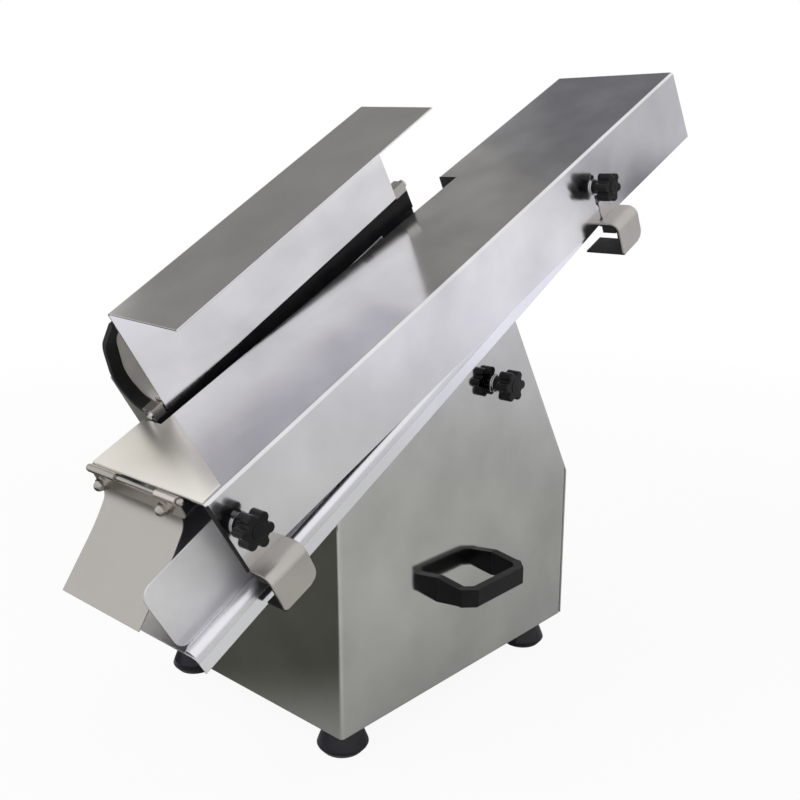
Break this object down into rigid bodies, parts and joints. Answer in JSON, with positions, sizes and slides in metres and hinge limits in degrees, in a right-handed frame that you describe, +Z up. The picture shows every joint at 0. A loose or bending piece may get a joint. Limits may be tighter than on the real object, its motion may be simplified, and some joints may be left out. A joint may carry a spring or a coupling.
{
  "type": "bun slicer",
  "caption": "Gravity bun slicer: sloped feed chute under a sliding hood, guarded disc blade beside it, belt drive in a box casing on rubber feet.",
  "frame": {"origin": "middle of the bounding box's bottom, on the floor under the feet", "axes": "+Y towards the feed end of the chute, +X to the side with the knobs and the hood's wall, +Z up"},
  "size_m": [0.419, 0.8471, 0.7063],
  "materials": {
    "stainless": "polished sheet with a faint grain",
    "bright_steel": "machined bright",
    "gloss_black": "moulded gloss",
    "satin_black": "moulded satin",
    "rubber": "moulded rubber",
    "machined": "turned",
    "castings": "cast and faced",
    "motor_paint": "semi-gloss paint"
  },
  "bodies": {
    "frame": {"base_plate": "stainless", "bearing_bolts": "bright_steel", "bearing_housing": "castings", "bearing_lower": "bright_steel", "bearing_upper": "bright_steel", "blade_housing": "stainless", "cable_gland": "satin_black", "carry_handle_left": "satin_black", "carry_handle_right": "satin_black", "casing_shell": "stainless", "clamp_studs": "bright_steel", "clamp_washers": "bright_steel", "deck_plate": "stainless", "drive_belt": "rubber", "edge_trim_lower": "rubber", "edge_trim_upper": "rubber", "feet": "rubber", "foot_nuts": "bright_steel", "gland_nut": "satin_black", "guard_pivot_blocks": "stainless", "guard_pivot_screws": "bright_steel", "guard_rail": "satin_black", "guide_wall_right": "stainless", "handle_screws": "bright_steel", "motor_body": "motor_paint", "motor_bolts": "bright_steel", "motor_mount": "motor_paint", "rear_guard": "stainless", "rear_panel": "stainless", "rear_panel_screws": "bright_steel", "switch_body": "gloss_black", "tension_stud": "bright_steel", "tray": "stainless"},
    "hood": {"hood": "stainless", "hood_end": "stainless", "hood_head": "stainless", "tab_lower": "stainless", "tab_upper": "stainless", "tab_pads": "rubber", "hinge_leaf": "stainless", "hinge_pin": "bright_steel"},
    "flap": {"exit_flap": "stainless", "flap_strip": "stainless", "flap_nuts": "bright_steel"},
    "guard": {"front_guard": "stainless"},
    "blade_set": {"spindle": "bright_steel", "blade": "bright_steel", "blade_flange": "bright_steel", "blade_clamp": "bright_steel", "blade_nut": "bright_steel", "spindle_pulley": "machined"},
    "motor_rotor": {"motor_shaft": "bright_steel", "motor_pulley": "machined"},
    "lower_knob": {"knob_lower": "gloss_black"},
    "upper_knob": {"knob_upper": "gloss_black"},
    "side_knob": {"knob_side": "gloss_black"},
    "rocker": {"switch_rocker": "gloss_black"}
  },
  "joints": [
    {"name": "hood_slide", "type": "slide", "parent": "frame", "child": "hood", "axis": [0, -0.4501, 0.893], "range_m": [-0.01, 0.02]},
    {"name": "flap_hinge", "type": "hinge", "parent": "hood", "child": "flap", "pos_m": [0, -0.37955, 0.32689], "axis": [-1, 0, 0], "range_deg": [0, 95]},
    {"name": "guard_tilt", "type": "hinge", "parent": "frame", "child": "guard", "pos_m": [0.0045, -0.14593, 0.46433], "axis": [0, 0.866, 0.5], "range_deg": [0, 20]},
    {"name": "blade_spin", "type": "hinge", "parent": "frame", "child": "blade_set", "pos_m": [-0.0195, -0.12869, 0.38248], "axis": [0, -0.5, 0.866], "continuous": true},
    {"name": "motor_spin", "type": "hinge", "parent": "frame", "child": "motor_rotor", "pos_m": [-0.0195, -0.00147, 0.4213], "axis": [0, -0.5, 0.866], "continuous": true},
    {"name": "knob_lower_turn", "type": "hinge", "parent": "frame", "child": "lower_knob", "pos_m": [0.19, -0.34082, 0.30389], "axis": [1, 0, 0], "range_deg": [0, 360]},
    {"name": "knob_upper_turn", "type": "hinge", "parent": "frame", "child": "upper_knob", "pos_m": [0.19, 0.19743, 0.56961], "axis": [1, 0, 0], "range_deg": [0, 360]},
    {"name": "knob_side_turn", "type": "hinge", "parent": "frame", "child": "side_knob", "pos_m": [0.18, 0.02261, 0.3636], "axis": [1, 0, 0], "range_deg": [0, 360]},
    {"name": "switch_rock", "type": "hinge", "parent": "frame", "child": "rocker", "pos_m": [-0.1625, -0.12582, 0.188], "axis": [0, -1, 0], "range_deg": [0, 16]}
  ],
  "couplings": [
    {"joint": "motor_spin", "follows": "blade_spin", "ratio": 1.2}
  ]
}
